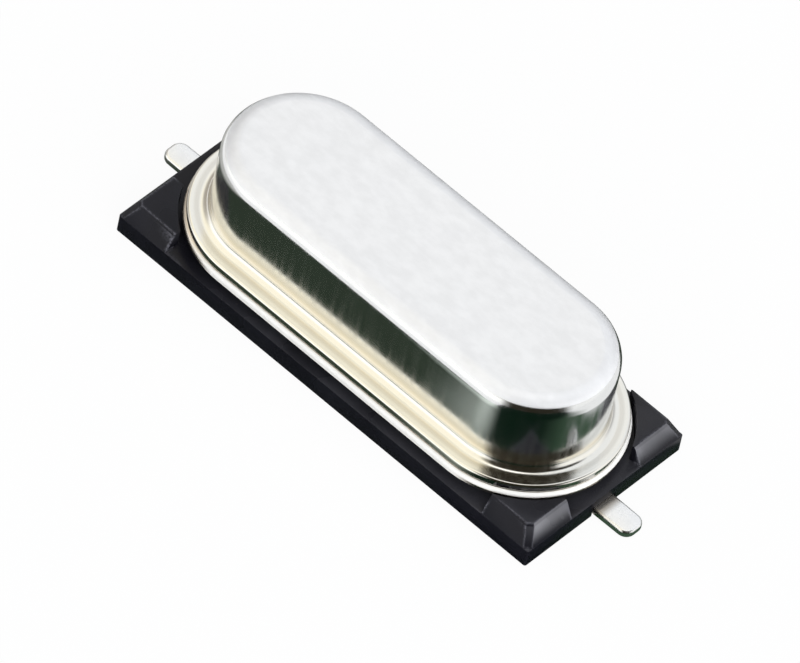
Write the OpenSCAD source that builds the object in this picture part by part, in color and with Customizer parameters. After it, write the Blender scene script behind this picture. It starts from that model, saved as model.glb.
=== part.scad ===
// Low-profile quartz crystal in a welded metal can, on a moulded insulator
// with two flattened terminals for surface mounting.
//
// Millimetres.  X runs along the length, Z is up, and the origin is the
// middle of the footprint, on the face of the circuit board.

/* [Can] */
// Length of the drawn can body, without its flange
can_l = 9.88; // [9.6:0.02:10.2]
// Width of the drawn can body, without its flange
can_w = 3.5; // [3.3:0.02:3.6]
// Thickness of the can's sheet
can_t = 0.18; // [0.15:0.01:0.25]
// Radius round the top edge of the can
can_top_r = 0.4; // [0.3:0.01:0.6]
// Radius where the can's wall turns out into its flange
can_foot_r = 0.18; // [0.1:0.01:0.22]
// Width of the can's flange
flange_w = 4.38; // [4.2:0.02:4.44]
// Radius round the upper edge of the flange
flange_edge_r = 0.06; // [0.03:0.01:0.14]
// Height of the finished part above the board
total_h = 3.07; // [2.95:0.01:3.6]

/* [Header] */
// Height of the header's underside above the board
seat_h = 0.71; // [0.68:0.01:0.8]
// Thickness of the header's sheet
header_t = 0.2; // [0.14:0.01:0.22]
// Reach of the header past the edge of the can's flange
header_ledge = 0.055; // [0.02:0.005:0.06]
// Radius round the upper edge of the header
header_edge_r = 0.08; // [0.03:0.01:0.08]
// Height of the weld bead that keeps the two flanges apart
weld_h = 0.02; // [0.02:0.01:0.06]
// Width of the weld bead
weld_w = 0.12; // [0.08:0.01:0.16]
// Set-back of the weld bead from the edge of the can's flange
weld_inset = 0.08; // [0.06:0.01:0.12]
// Height of the header's raised middle above its underside
dome_h = 0.65; // [0.55:0.01:0.7]
// Radius round the top edge of the raised middle
dome_top_r = 0.26; // [0.23:0.01:0.4]
// Clearance between the header's raised middle and the can's wall
dome_gap = 0.16; // [0.08:0.01:0.25]
// Diameter of the glass bead that seals each lead
bead_d = 1.1; // [0.95:0.05:1.3]
// Wall of the eyelet round each glass bead
eyelet_t = 0.16; // [0.12:0.01:0.2]

/* [Leads] */
// Distance between the two leads
lead_pitch = 4.88; // [4.6:0.02:5.2]
// Diameter of the lead wire
wire_d = 0.43; // [0.38:0.01:0.45]
// Radius of the bend under the insulator, at the middle of the wire
bend_r = 0.36; // [0.32:0.01:0.4]
// Gap between the board and the stretch of wire that stays round
wire_lift = 0.02; // [0.01:0.005:0.03]
// Length of round wire between the bend and the flattened stretch
wire_run = 0.4; // [0.2:0.05:0.8]
// Length over which the wire is pressed flat
press_l = 0.5; // [0.3:0.05:0.8]
// Width of the flattened terminal where it leaves the insulator
tab_w = 0.66; // [0.56:0.02:0.8]
// Width of the flattened terminal at its tip
tip_w = 0.6; // [0.5:0.02:0.8]
// Radius at the two corners of the tip
tip_r = 0.23; // [0.1:0.01:0.25]
// Thickness of the flattened terminal
tab_t = 0.2; // [0.15:0.01:0.24]
// Reach of the terminal past a centred insulator
tab_reach = 0.81; // [0.5:0.01:1.2]
// Diameter of the nail head on top of each lead
head_d = 0.8; // [0.6:0.02:0.9]
// Thickness of the nail head
head_h = 0.12; // [0.08:0.01:0.16]
// Gap between the glass bead and the nail head
head_gap = 0.07; // [0.04:0.01:0.12]

/* [Insulator] */
// Length of the insulator
base_l = 11.4; // [11.3:0.05:11.8]
// Width of the insulator
base_w = 4.65; // [4.6:0.05:5]
// Offset of the insulator's outline from the middle of the can
base_shift = -0.1; // [-0.15:0.01:0.15]
// Radius at the corners of the insulator, seen from above
base_corner_r = 0.05; // [0.03:0.01:0.2]
// Height of the insulator's plate above the board
plate_h = 0.45; // [0.4:0.01:0.5]
// Height of the corner blocks above the board
block_h = 0.87; // [0.8:0.01:1]
// Length of each corner block along the insulator
block_l = 1.3; // [1.1:0.01:1.5]
// Width of the opening between the corner blocks at each end
end_gap = 2.04; // [1.6:0.02:2.3]
// Lean of a corner block's outer faces, from foot to top
block_lean = 0.2; // [0.1:0.01:0.25]
// Gap between the corner blocks and the edge of the header
block_gap = 0.1; // [0.04:0.01:0.14]
// Width of the facet down each outer corner of the blocks
facet_w = 0.22; // [0.12:0.01:0.3]
// Small chamfer on the moulded edges
edge_c = 0.045; // [0.02:0.005:0.06]
// Set-back of the seat pad from the edge of the header
pad_inset = 0.3; // [0.25:0.01:0.4]
// Clearance round the wire in its hole and groove
wire_gap = 0.035; // [0.02:0.005:0.05]

/* [Crystal] */
// Length of the quartz blank
blank_l = 8; // [7.6:0.05:8.2]
// Width of the quartz blank
blank_w = 1.8; // [1.5:0.05:2.1]
// Thickness of the quartz blank
blank_t = 0.17; // [0.12:0.01:0.22]
// Length of each electrode's central field
electrode_l = 3.6; // [3:0.1:4.4]
// Width of each electrode's central field
electrode_w = 1.4; // [1:0.05:1.45]
// Thickness of the electrode film
electrode_t = 0.02; // [0.01:0.005:0.03]
// Width of the track from each electrode to its clip
track_w = 0.6; // [0.5:0.05:0.7]

/* [Clips] */
// Width of each spring clip
clip_w = 1; // [0.85:0.05:1.2]
// Thickness of the clip's strip
clip_t = 0.08; // [0.06:0.01:0.1]
// Reach of the clip's foot inward from the middle of the lead
foot_reach = 0.35; // [0.2:0.05:0.6]
// Length of the shelf under the end of the blank
shelf_l = 0.75; // [0.7:0.05:0.85]
// Height of the shelf above the clip's foot
shelf_rise = 0.4; // [0.3:0.01:0.45]
// Length of the slope between the foot and the shelf
slope_l = 0.4; // [0.3:0.05:0.5]
// Gap between the end of the blank and the clip's upright lip
lip_gap = 0.05; // [0.03:0.01:0.08]
// Height of the lip above the top of the blank
lip_rise = 0.12; // [0.1:0.01:0.16]
// Width of each drop of conductive adhesive
glue_w = 0.8; // [0.75:0.05:0.85]
// Length of the adhesive's straight stretch inward from the lip
glue_run = 0.25; // [0.2:0.05:0.3]
// Height of the adhesive above the blank
glue_h = 0.1; // [0.06:0.01:0.12]

/* [Hidden] */
$fn = 96;
eps = 0.01;                                  // overshoot of a cutting shape
over = 1;                                    // overshoot of a large cutting shape

// Heights, from the board upward
header_top = seat_h + header_t;
flange_low = header_top + weld_h;            // underside of the can's flange
flange_top = flange_low + can_t;
dome_top = seat_h + dome_h;
head_low = dome_top + head_gap;
foot_z = head_low + head_h;                  // underside of the clips' feet
shelf_z = foot_z + shelf_rise;               // underside of the shelves
film_z = shelf_z + clip_t;                   // underside of the lower electrode
blank_z = film_z + electrode_t;
blank_top = blank_z + blank_t;
lip_top = blank_top + lip_rise;
wire_z = wire_d / 2 + wire_lift;             // middle of the horizontal wire

// Plan sizes.  The can, its flange and the header are slots round one core
// line, so each is given by its reach from that line.
core = (can_l - can_w) / 2;                  // half length of the core line
can_r = can_w / 2;
flange_r = flange_w / 2;
header_r = flange_r + header_ledge;
dome_r = can_r - can_t - dome_gap;
weld_r = flange_r - weld_inset;
lead_x = lead_pitch / 2;
bend_x = lead_x + bend_r;                    // end of the bend
press_x = bend_x + wire_run;                 // start of the pressed stretch
flat_x = press_x + press_l;                  // end of the pressed stretch
tip_x = base_l / 2 + tab_reach;
blank_x = blank_l / 2;
lip_x = blank_x + lip_gap;                   // inner face of the clip's lip
glue_x = lip_x - glue_run;                   // middle of the adhesive's round end

// ---- Shapes that repeat ----

// A plate with the outline of a slot
module slot_plate(reach, low, high) {
    translate([0, 0, low]) linear_extrude(high - low) {
        square([2 * core, 2 * reach], center = true);
        for (s = [-1, 1]) translate([s * core, 0]) circle(reach);
    }
}

// Carries a section round the core line.  The section is drawn as distance
// from that line, and height.
module sweep_round_core() {
    for (s = [-1, 1]) {
        translate([s * core, 0, 0]) rotate([0, 0, -s * 90])
            rotate_extrude(angle = 180) children();
        rotate([90, 0, s * 90]) linear_extrude(2 * core, center = true) children();
    }
}

module square_to(x0, y0, x1, y1) { translate([x0, y0]) square([x1 - x0, y1 - y0]); }

// Section of a plate or of a drawn pan, upside down, with the radius edge
// round its top
module pan_section(reach, low, top, edge) {
    square_to(0, low, reach - edge, top);
    square_to(0, low, reach, top - edge);
    intersection() {
        translate([reach - edge, top - edge]) circle(edge);
        square_to(reach - edge, top - edge, reach, top);
    }
}

// Places a piece made for the right end at the left end
module left() { rotate([0, 0, 180]) children(); }

// ---- Insulator ----

// Half of a section through the blocks, from the middle to the outer face
module block_section(reach, lean) {
    polygon([[-reach, 0], [reach, 0], [reach, plate_h],
             [reach - lean, block_h - edge_c], [reach - lean - edge_c, block_h],
             [-reach + lean + edge_c, block_h], [-reach + lean, block_h - edge_c],
             [-reach, plate_h]]);
}

module base_outline() {
    square([base_l - 2 * base_corner_r, base_w], center = true);
    square([base_l, base_w - 2 * base_corner_r], center = true);
    for (x = [-1, 1], y = [-1, 1])
        translate([x * (base_l / 2 - base_corner_r), y * (base_w / 2 - base_corner_r)])
            circle(base_corner_r);
}

// Outer form of the insulator, with leaning faces on the blocks and a
// narrow facet down each of their outer corners
module base_envelope() {
    corner = (base_l + base_w) / 2 / sqrt(2);     // middle to corner, at 45 degrees
    intersection() {
        linear_extrude(block_h) base_outline();
        rotate([90, 0, 90]) linear_extrude(base_l + over, center = true)
            block_section(base_w / 2, block_lean);
        rotate([90, 0, 0]) linear_extrude(base_w + over, center = true)
            block_section(base_l / 2, block_lean);
        for (a = [-45, 45]) rotate([90, 0, a]) linear_extrude(base_l + base_w, center = true)
            union() {
                square_to(-corner, 0, corner, plate_h);
                block_section(corner - facet_w / 2, block_lean * sqrt(2));
            }
    }
}

// Hole and grooves that one lead lies in, at the right end
module lead_channel() {
    half = wire_d / 2 + wire_gap;
    translate([lead_x, 0, -eps]) cylinder(r = half, h = seat_h + 2 * eps);
    rotate([90, 0, 0]) linear_extrude(2 * half, center = true)
        polygon([[lead_x, -eps], [lead_x, wire_z + bend_r],
                 [lead_x + half, wire_z + bend_r], [bend_x, wire_z + half],
                 [press_x, wire_z + half], [press_x, -eps]]);
    pressed_lead(wire_gap);
}

module insulator_base() {
    color([0.09, 0.09, 0.11]) difference() {
        union() {
            translate([base_shift, 0, 0]) base_envelope();
            slot_plate(header_r - pad_inset, plate_h / 2, seat_h);
        }
        difference() {
            translate([base_shift, 0, (plate_h + block_h + over) / 2]) union() {
                cube([base_l - 2 * block_l, base_w + over, block_h - plate_h + over], center = true);
                cube([base_l + over, end_gap, block_h - plate_h + over], center = true);
            }
            slot_plate(header_r - pad_inset, 0, seat_h);
        }
        difference() {
            slot_plate(header_r + block_gap, plate_h, block_h + eps);
            slot_plate(header_r - pad_inset, 0, seat_h);
        }
        lead_channel();
        left() lead_channel();
    }
}

// ---- Header ----

// Section of the sheet's outside: flat plate, raised middle and weld bead
module header_section() {
    pan_section(header_r, seat_h, header_top, header_edge_r);
    pan_section(dome_r, seat_h, dome_top, dome_top_r);
    square_to(weld_r - weld_w, seat_h, weld_r, flange_low);
}

module header() {
    color([0.8, 0.75, 0.68]) difference() {
        sweep_round_core() header_section();
        difference() {
            sweep_round_core()
                pan_section(dome_r - header_t, seat_h - eps, dome_top - header_t,
                            dome_top_r - header_t);
            for (s = [-1, 1]) translate([s * lead_x, 0, seat_h - 2 * eps])
                cylinder(d = bead_d + 2 * eyelet_t, h = dome_h);
        }
        for (s = [-1, 1]) translate([s * lead_x, 0, seat_h - eps])
            cylinder(d = bead_d, h = dome_h + 2 * eps);
    }
}

module glass_bead() {
    translate([lead_x, 0, seat_h]) difference() {
        cylinder(d = bead_d, h = dome_h);
        translate([0, 0, -eps]) cylinder(d = wire_d, h = dome_h + 2 * eps);
    }
}

module glass_bead_right() { color([0.35, 0.45, 0.42]) glass_bead(); }
module glass_bead_left() { color([0.35, 0.45, 0.42]) left() glass_bead(); }

// ---- Leads ----

// The stretch that is pressed from round wire to a flat terminal.  With a
// gap it is the groove that holds it, and runs out through the end.
module pressed_lead(gap = 0) {
    low = gap > 0 ? -eps : 0;
    start = wire_d / 2 + wire_lift + gap;
    tip_y = tip_w / 2 + gap;
    intersection() {
        translate([0, 0, low]) linear_extrude(seat_h) {
            polygon([[press_x, -start], [flat_x, -tab_w / 2 - gap], [tip_x - tip_r, -tip_y],
                     [tip_x - tip_r, tip_y], [flat_x, tab_w / 2 + gap], [press_x, start]]);
            square_to(flat_x, tip_r - tip_y, tip_x + gap, tip_y - tip_r);
            for (s = [-1, 1]) translate([tip_x - tip_r, s * (tip_y - tip_r)])
                circle(tip_r);
        }
        rotate([90, 0, 0]) linear_extrude(2 * over, center = true)
            polygon([[press_x, low], [press_x, wire_d + 2 * wire_lift + gap],
                     [flat_x, tab_t + gap], [tip_x + over, tab_t + gap], [tip_x + over, low]]);
    }
}

module lead() {
    color([0.86, 0.86, 0.84]) {
        translate([lead_x, 0, head_low]) cylinder(d = head_d, h = head_h);
        translate([lead_x, 0, wire_z + bend_r])
            cylinder(d = wire_d, h = head_low - wire_z - bend_r);
        translate([bend_x, 0, wire_z + bend_r]) rotate([90, 0, 0]) rotate([0, 0, 180])
            rotate_extrude(angle = 90) translate([bend_r, 0]) circle(d = wire_d);
        translate([bend_x, 0, wire_z]) rotate([0, 90, 0])
            cylinder(d = wire_d, h = wire_run);
        pressed_lead();
    }
}

module lead_right() { lead(); }
module lead_left() { left() lead(); }

// ---- Crystal ----

module quartz_blank() {
    color([0.85, 0.9, 0.92]) translate([0, 0, blank_z + blank_t / 2])
        cube([blank_l, blank_w, blank_t], center = true);
}

// Film with its track running out to the right end
module electrode_film(low) {
    translate([0, 0, low + electrode_t / 2]) {
        cube([electrode_l, electrode_w, electrode_t], center = true);
        translate([blank_x / 2, 0, 0]) cube([blank_x, track_w, electrode_t], center = true);
    }
}

module electrode_lower() { color("silver") electrode_film(film_z); }
module electrode_upper() { color("silver") left() electrode_film(blank_top); }

// ---- Clips and adhesive ----

// Spring strip: foot on the nail head, slope, shelf and upright lip
module clip() {
    shelf_x = lip_x - shelf_l;
    foot_x = shelf_x - slope_l;
    rotate([90, 0, 0]) linear_extrude(clip_w, center = true)
        polygon([[lead_x - foot_reach, foot_z], [foot_x, foot_z], [shelf_x, shelf_z],
                 [lip_x + clip_t, shelf_z], [lip_x + clip_t, lip_top],
                 [lip_x, lip_top], [lip_x, film_z], [shelf_x, film_z],
                 [foot_x, foot_z + clip_t], [lead_x - foot_reach, foot_z + clip_t]]);
}

module clip_right() { color([0.75, 0.72, 0.62]) clip(); }
module clip_left() { color([0.75, 0.72, 0.62]) left() clip(); }

// Half of a section through the drop, with a domed top
module glue_section() {
    top = blank_top + glue_h;
    dome = (pow(glue_w / 2, 2) + pow(glue_h, 2)) / (2 * glue_h);
    intersection() {
        square_to(0, film_z, glue_w / 2, top);
        translate([0, top - dome]) circle(dome);
    }
}

// Drop that fills the gap to the lip and wraps the end of the blank
module glue_drop() {
    translate([glue_x, 0, 0]) {
        rotate([0, 0, 90]) rotate_extrude(angle = 180) glue_section();
        for (s = [0, 1]) mirror([0, s, 0]) rotate([90, 0, 90])
            linear_extrude(glue_run) glue_section();
    }
}

module adhesive_right() {
    color([0.62, 0.62, 0.6]) difference() {
        glue_drop();
        quartz_blank();
        electrode_lower();
    }
}

module adhesive_left() {
    color([0.62, 0.62, 0.6]) difference() {
        left() glue_drop();
        quartz_blank();
        electrode_upper();
    }
}

// ---- Cover ----

// Section under one face of the drawn sheet; in is how far that face lies
// inside the outer one
module drawn_section(in) {
    turn_x = can_r + can_foot_r;              // middle of the foot's radius
    turn_z = flange_top + can_foot_r;
    low = flange_low - (in > 0 ? eps : 0);
    pan_section(can_r - in, low, total_h - in, can_top_r - in);
    difference() {
        square_to(0, low, turn_x, turn_z);
        translate([turn_x, turn_z]) circle(can_foot_r + in);
    }
}

module cover() {
    color([0.9, 0.9, 0.9]) difference() {
        sweep_round_core() {
            drawn_section(0);
            pan_section(flange_r, flange_low, flange_top, flange_edge_r);
        }
        sweep_round_core() drawn_section(can_t);
    }
}

insulator_base();
header();
glass_bead_left();
glass_bead_right();
lead_left();
lead_right();
clip_left();
clip_right();
quartz_blank();
electrode_upper();
electrode_lower();
adhesive_left();
adhesive_right();
cover();
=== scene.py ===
"""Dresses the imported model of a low-profile quartz crystal: a drawn metal can welded to its
header, on a moulded insulator with two flattened terminals."""

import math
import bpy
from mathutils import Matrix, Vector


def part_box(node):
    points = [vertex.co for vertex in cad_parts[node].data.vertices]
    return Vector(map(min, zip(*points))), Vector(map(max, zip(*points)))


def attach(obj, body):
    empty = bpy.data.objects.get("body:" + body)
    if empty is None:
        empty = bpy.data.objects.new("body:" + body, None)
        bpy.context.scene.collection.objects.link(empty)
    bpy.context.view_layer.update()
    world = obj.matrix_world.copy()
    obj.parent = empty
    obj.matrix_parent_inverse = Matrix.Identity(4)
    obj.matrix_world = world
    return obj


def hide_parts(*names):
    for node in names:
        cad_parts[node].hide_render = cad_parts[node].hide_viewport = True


bl_info = {
    "name": "Surface-mount crystal",
    "version": (1, 0, 0),
    "blender": (4, 5, 0),
    "location": "3D View > Sidebar > Crystal",
    "description": "Makes the finished pieces, the materials and the stage of a crystal in a metal can",
    "category": "Object",
}

import bmesh
import bpy
from bpy.props import FloatProperty, FloatVectorProperty, PointerProperty
from mathutils import Matrix, Vector

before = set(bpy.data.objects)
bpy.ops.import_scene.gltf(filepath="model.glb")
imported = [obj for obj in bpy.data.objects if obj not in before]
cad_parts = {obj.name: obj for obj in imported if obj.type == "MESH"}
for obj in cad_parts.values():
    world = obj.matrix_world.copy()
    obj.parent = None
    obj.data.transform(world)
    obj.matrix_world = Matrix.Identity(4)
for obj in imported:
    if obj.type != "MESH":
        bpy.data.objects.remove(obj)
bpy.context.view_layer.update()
BODY = "root"
MM = 0.001
SAME_POINT = 0.0005 * MM  # points of a mesh that lie closer than this are joined

COVER_LOW, COVER_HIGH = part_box("cover")
HEADER_LOW, HEADER_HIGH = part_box("header")
_, LEAD_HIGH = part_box("lead_right")
BEAD_LOW, BEAD_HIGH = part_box("glass_bead_right")
INSULATOR_LOW, INSULATOR_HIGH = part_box("insulator_base")
INSULATOR_MIDDLE = (INSULATOR_LOW + INSULATOR_HIGH) / 2
INSULATOR_HALF = (INSULATOR_HIGH - INSULATOR_LOW) / 2


# ---- Settings ----


def size(name, description, millimetres, low, high):
    """A length that a user can set, written here in millimetres."""
    return FloatProperty(
        name=name,
        description=description,
        default=millimetres * MM,
        min=low * MM,
        max=high * MM,
        precision=5,
        subtype="DISTANCE",
        unit="LENGTH",
    )


def share(name, description, default, low=0.0, high=1.0):
    """A plain number that a user can set."""
    return FloatProperty(
        name=name, description=description, default=default, min=low, max=high, precision=3
    )


def colour(name, description, default):
    """A colour that a user can set, as linear red, green and blue."""
    return FloatVectorProperty(
        name=name,
        description=description,
        default=default,
        min=0.0,
        max=10.0,
        size=3,
        precision=3,
        subtype="COLOR",
    )


def turned(name, description, degrees):
    """An angle that a user can set, written here in degrees."""
    return FloatProperty(
        name=name,
        description=description,
        default=math.radians(degrees),
        subtype="ANGLE",
        unit="ROTATION",
    )


class CoverSettings(bpy.types.PropertyGroup):
    """Sizes and finish of the drawn can"""

    body_length: size("Body length", "Length of the can without its flange", 9.88, 9, 11)
    body_width: size("Body width", "Width of the can without its flange", 3.5, 3, 4)
    sheet: size("Sheet", "Thickness of the can's sheet", 0.18, 0.1, 0.3)
    top_radius: size("Top radius", "Radius round the top edge", 0.4, 0.25, 0.7)
    foot_radius: size("Foot radius", "Radius where the wall turns into the flange", 0.18, 0.05, 0.3)
    rim_radius: size("Rim radius", "Rounding of the flange's upper edge", 0.06, 0.01, 0.16)
    rim_under: size("Rim underside", "Rounding of the flange's lower edge", 0.03, 0.01, 0.09)
    metal: colour("Metal", "Colour of the can's metal", (0.86, 0.87, 0.87))
    heat_tint: colour("Heat tint", "Colour of the wall's foot, beside the weld", (0.89, 0.83, 0.70))
    flange_tint: colour("Flange tint", "Colour of the flange", (0.92, 0.90, 0.84))
    # Painted shade: the dull ring and its tint darken the flange beside the wall's foot.
    foot_shade: share("Dull ring", "How far the flange is dulled beside the foot", 0.2)
    foot_shade_tint: colour("Dull tint", "Colour that dulls the flange", (0.30, 0.25, 0.19))
    satin_depth: size("Satin depth", "How far below the top the satin ends", 0.14, 0.01, 0.4)
    top_roughness: share("Top roughness", "Roughness of the satin top", 0.46)
    top_scatter: share("Top scatter", "Share of the satin top's light that scatters evenly", 0.65)
    satin: colour("Satin", "Colour of the satin top and its rim", (0.885, 0.89, 0.905))
    wall_roughness: share("Wall roughness", "Roughness of the drawn walls", 0.16)


class HeaderSettings(bpy.types.PropertyGroup):
    """Sizes and finish of the header plate under the can"""

    sheet: size("Sheet", "Thickness of the header's sheet", 0.2, 0.1, 0.25)
    dome_gap: size("Dome gap", "Gap between the raised middle and the can's wall", 0.16, 0.05, 0.3)
    dome_radius: size("Dome radius", "Radius round the raised middle", 0.26, 0.2, 0.5)
    edge_radius: size("Edge radius", "Rounding of the plate's upper edge", 0.09, 0.02, 0.15)
    edge_under: size("Edge underside", "Rounding of the plate's lower edge", 0.06, 0.01, 0.08)
    weld_inset: size("Weld inset", "Set-back of the weld from the flange's edge", 0.08, 0.04, 0.15)
    weld_width: size("Weld width", "Width of the weld bead", 0.12, 0.05, 0.2)
    metal: colour("Metal", "Colour of the header's metal", (0.80, 0.72, 0.62))
    roughness: share("Roughness", "Roughness of the header's metal", 0.2)
    cut_metal: colour("Cut edge", "Colour of the plate's sheared and tumbled edge", (0.95, 0.94, 0.91))
    cut_roughness: share("Cut roughness", "Roughness of the sheared edge", 0.55)
    cut_mirror: share("Cut mirror", "Share of the sheared edge's light that mirrors", 0.2)


class LeadSettings(bpy.types.PropertyGroup):
    """Sizes and finish of the two leads"""

    pitch: size("Pitch", "Distance between the two leads", 4.88, 4, 6)
    wire: size("Wire", "Diameter of the round wire", 0.43, 0.3, 0.6)
    bend_radius: size("Bend radius", "Radius of the bend, at the middle of the wire", 0.36, 0.25, 0.5)
    lift: size("Lift", "Gap under the round wire", 0.02, 0, 0.05)
    run: size("Round run", "Length of round wire after the bend", 0.4, 0.1, 1)
    press: size("Pressed run", "Length over which the wire is pressed flat", 0.5, 0.2, 1)
    width: size("Width", "Width of the terminal at the insulator", 0.66, 0.5, 0.9)
    tip_width: size("Tip width", "Width of the terminal at its tip", 0.6, 0.4, 0.9)
    tip_radius: size("Tip radius", "Radius at the corners of the tip", 0.23, 0.05, 0.28)
    thickness: size("Thickness", "Thickness of the flattened terminal", 0.2, 0.1, 0.3)
    edge_radius: size("Edge radius", "Rounding of the terminal's edges", 0.07, 0.01, 0.09)
    head: size("Nail head", "Diameter of the nail head inside the can", 0.8, 0.5, 1)
    head_height: size("Head height", "Thickness of the nail head", 0.12, 0.05, 0.2)
    metal: colour("Metal", "Colour of the tinned wire", (0.98, 0.98, 0.98))
    mirror: share("Mirror", "Share of the upper side's light that mirrors, not scatters", 0.85)
    # The root tint is painted shade on the wire beside the insulator.
    root_shade_tint: colour("Root tint", "Colour of the wire by the insulator", (0.42, 0.39, 0.35))
    roughness: share("Roughness", "Roughness of the tinned wire", 0.26)


class InsulatorSettings(bpy.types.PropertyGroup):
    """Edges and finish of the moulded insulator"""

    edge_radius: size("Edge radius", "Rounding of the moulded edges", 0.02, 0.005, 0.04)
    plate_height: size("Plate height", "Height of the plate under the blocks", 0.45, 0.3, 0.6)
    lean: size("Lean", "How far the blocks' outer faces lean in", 0.2, 0.05, 0.3)
    chamfer: size("Chamfer", "Chamfer round the blocks' tops", 0.045, 0.01, 0.1)
    facet: size("Facet", "Width of the facet at the blocks' outer corners", 0.17, 0.05, 0.3)
    plastic: colour("Plastic", "Colour of the moulding", (0.008, 0.008, 0.012))
    roughness: share("Roughness", "Roughness of the moulded faces", 0.29)
    gloss: share("Gloss", "Strength of the moulded faces' shine", 0.18)
    # Edge wear and the worn colour paint a highlight along the blocks' outer edges.
    highlight_reach: size("Edge wear", "Reach of the rubbed band beside the edges", 0.09, 0.01, 0.2)
    edge_highlight: colour("Worn edge", "Colour of the moulding's rubbed edges", (0.12, 0.12, 0.14))
    # The dust colour and its top share are painted light on the end and upper faces.
    painted_light: colour("Dust", "Colour of the dust on the end faces", (0.20, 0.20, 0.215))
    top_light: share("Top dust", "Share of that dust on the upper faces", 0.11)
    grain: size("Grain", "Size of the moulding's fine grain", 0.05, 0.01, 0.3)


class StageSettings(bpy.types.PropertyGroup):
    """Camera, floor and light"""

    azimuth: turned("Azimuth", "Turn of the camera round the part, from front to right", 33.26)
    elevation: turned("Elevation", "Height of the camera above the floor, as an angle", 49.70)
    roll: turned("Roll", "Turn of the camera about its own line of sight", 12.80)
    distance: size("Distance", "Distance from the camera to the point it looks at", 321.664, 50, 2000)
    aim: FloatVectorProperty(
        name="Aim",
        description="Point that the camera looks at",
        default=(0.2607 * MM, -0.5100 * MM, 0.9789 * MM),
        size=3,
        precision=6,
        subtype="XYZ",
        unit="LENGTH",
    )
    lens: FloatProperty(
        name="Lens",
        description="Focal length of the camera, in millimetres",
        default=720.0,
        min=50.0,
        max=2000.0,
        subtype="DISTANCE_CAMERA",
    )
    floor: colour("Floor", "Colour of the floor", (0.93, 0.93, 0.93))
    floor_glow: share("Floor glow", "Share of the floor's white that no shadow reaches", 0.93)
    overhead: colour("Overhead light", "Colour of the sky behind and above", (0.88, 0.905, 0.94))
    horizon: colour("Horizon light", "Colour of the sky low behind the part", (0.42, 0.42, 0.43))
    front: colour("Front light", "Colour of the broad light at the front left", (1.08, 1.03, 0.88))
    window: colour("Low front light", "Colour of the front light near the horizon", (1.25, 1.25, 1.22))
    side: colour("Side light", "Colour of the low light at the right", (1.0, 1.0, 0.99))
    far_left: colour("Far left", "Colour of the dim patch at the far left", (0.42, 0.39, 0.35))
    fill: colour("Fill", "Light on satin faces from all round", (0.30, 0.305, 0.32))
    key: colour("Key light", "Light on satin faces from the camera's side", (2.15, 2.17, 2.2))
    lamp: colour("Lamp", "Colour of the lamp straight above", (1.3, 1.3, 1.3))
    room: colour("Room", "Colour of the dark room round the camera", (0.022, 0.019, 0.013))
    card_front: colour("Front card", "Colour of the card along the front", (0.030, 0.042, 0.029))
    # The card gap and card floor colours paint the pale floor into the cards' reflections.
    card_gap: colour("Card gap", "Colour of the floor in the front card's gap", (0.90, 0.98, 0.90))
    gap_light: share("Gap light", "Share of the gap's light close to the part", 0.62)
    card_corner: colour("Corner card", "Colour of the card at the near corner", (0.004, 0.012, 0.007))
    card_right: colour("Right card", "Colour of the card at the right end", (0.045, 0.080, 0.050))
    card_left: colour("Left card", "Colour of the card past the left end", (0.50, 0.50, 0.48))
    card_floor: colour("Card floor", "Colour of the floor behind the right card", (0.92, 0.92, 0.92))
    front_reach: size("Front reach", "Reach of the front card from the part", 6.5, 0.2, 100)
    side_reach: size("Side reach", "Reach of the other cards from the part", 600, 0.2, 690)


# ---- Node helpers ----


def add_node(tree, kind, inputs=None, **settings):
    """Adds a node, sets its settings, and joins or sets its inputs by name or number."""
    node = tree.nodes.new(kind)
    for key, value in settings.items():
        setattr(node, key, value)
    for key, value in (inputs or {}).items():
        if isinstance(value, bpy.types.NodeSocket):
            tree.links.new(value, node.inputs[key])
        else:
            node.inputs[key].default_value = value
    return node


def calc(tree, operation, first, second=0.0, third=0.0):
    """A maths node's result."""
    inputs = {0: first, 1: second, 2: third}
    return add_node(tree, "ShaderNodeMath", inputs, operation=operation).outputs[0]


def ramp(tree, value, low, high, out_low=0.0, out_high=1.0, smooth=True):
    """Takes a value from one range to another, with soft ends."""
    kind = "SMOOTHSTEP" if smooth else "LINEAR"
    inputs = {0: value, 1: low, 2: high, 3: out_low, 4: out_high}
    return add_node(tree, "ShaderNodeMapRange", inputs, interpolation_type=kind).outputs[0]


def blend_colours(tree, factor, first, second):
    """A mix of two colours, each a socket or three numbers."""
    node = add_node(tree, "ShaderNodeMix", {"Factor": factor}, data_type="RGBA")
    sockets = [s for s in node.inputs if s.type == "RGBA"]
    for socket, value in zip(sockets, (first, second)):
        if isinstance(value, bpy.types.NodeSocket):
            tree.links.new(value, socket)
        else:
            socket.default_value = (*value, 1.0)
    return next(s for s in node.outputs if s.type == "RGBA")


def blend(tree, factor, first, second):
    """A mix of two numbers, each a socket or a number."""
    return add_node(tree, "ShaderNodeMix", {0: factor, 2: first, 3: second}).outputs[0]


def times(tree, first, *others):
    """Two or more values multiplied."""
    for other in others:
        first = calc(tree, "MULTIPLY", first, other)
    return first


def line(tree, value, slope, start):
    """A straight line's height over a value."""
    return calc(tree, "MULTIPLY_ADD", value, slope, start)


def axes(tree, vector):
    """The X, Y and Z of a vector."""
    return add_node(tree, "ShaderNodeSeparateXYZ", {0: vector}).outputs


def dot_product(tree, first, second):
    """How far two unit vectors point the same way, as a cosine."""
    inputs = {0: first, 1: second}
    return add_node(tree, "ShaderNodeVectorMath", inputs, operation="DOT_PRODUCT").outputs["Value"]


def noise(tree, where, scale, detail=2.0, roughness=0.5):
    """Fine random variation in space, from 0 to 1."""
    inputs = {"Vector": where, "Scale": scale, "Detail": detail, "Roughness": roughness}
    return add_node(tree, "ShaderNodeTexNoise", inputs).outputs["Fac"]


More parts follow.
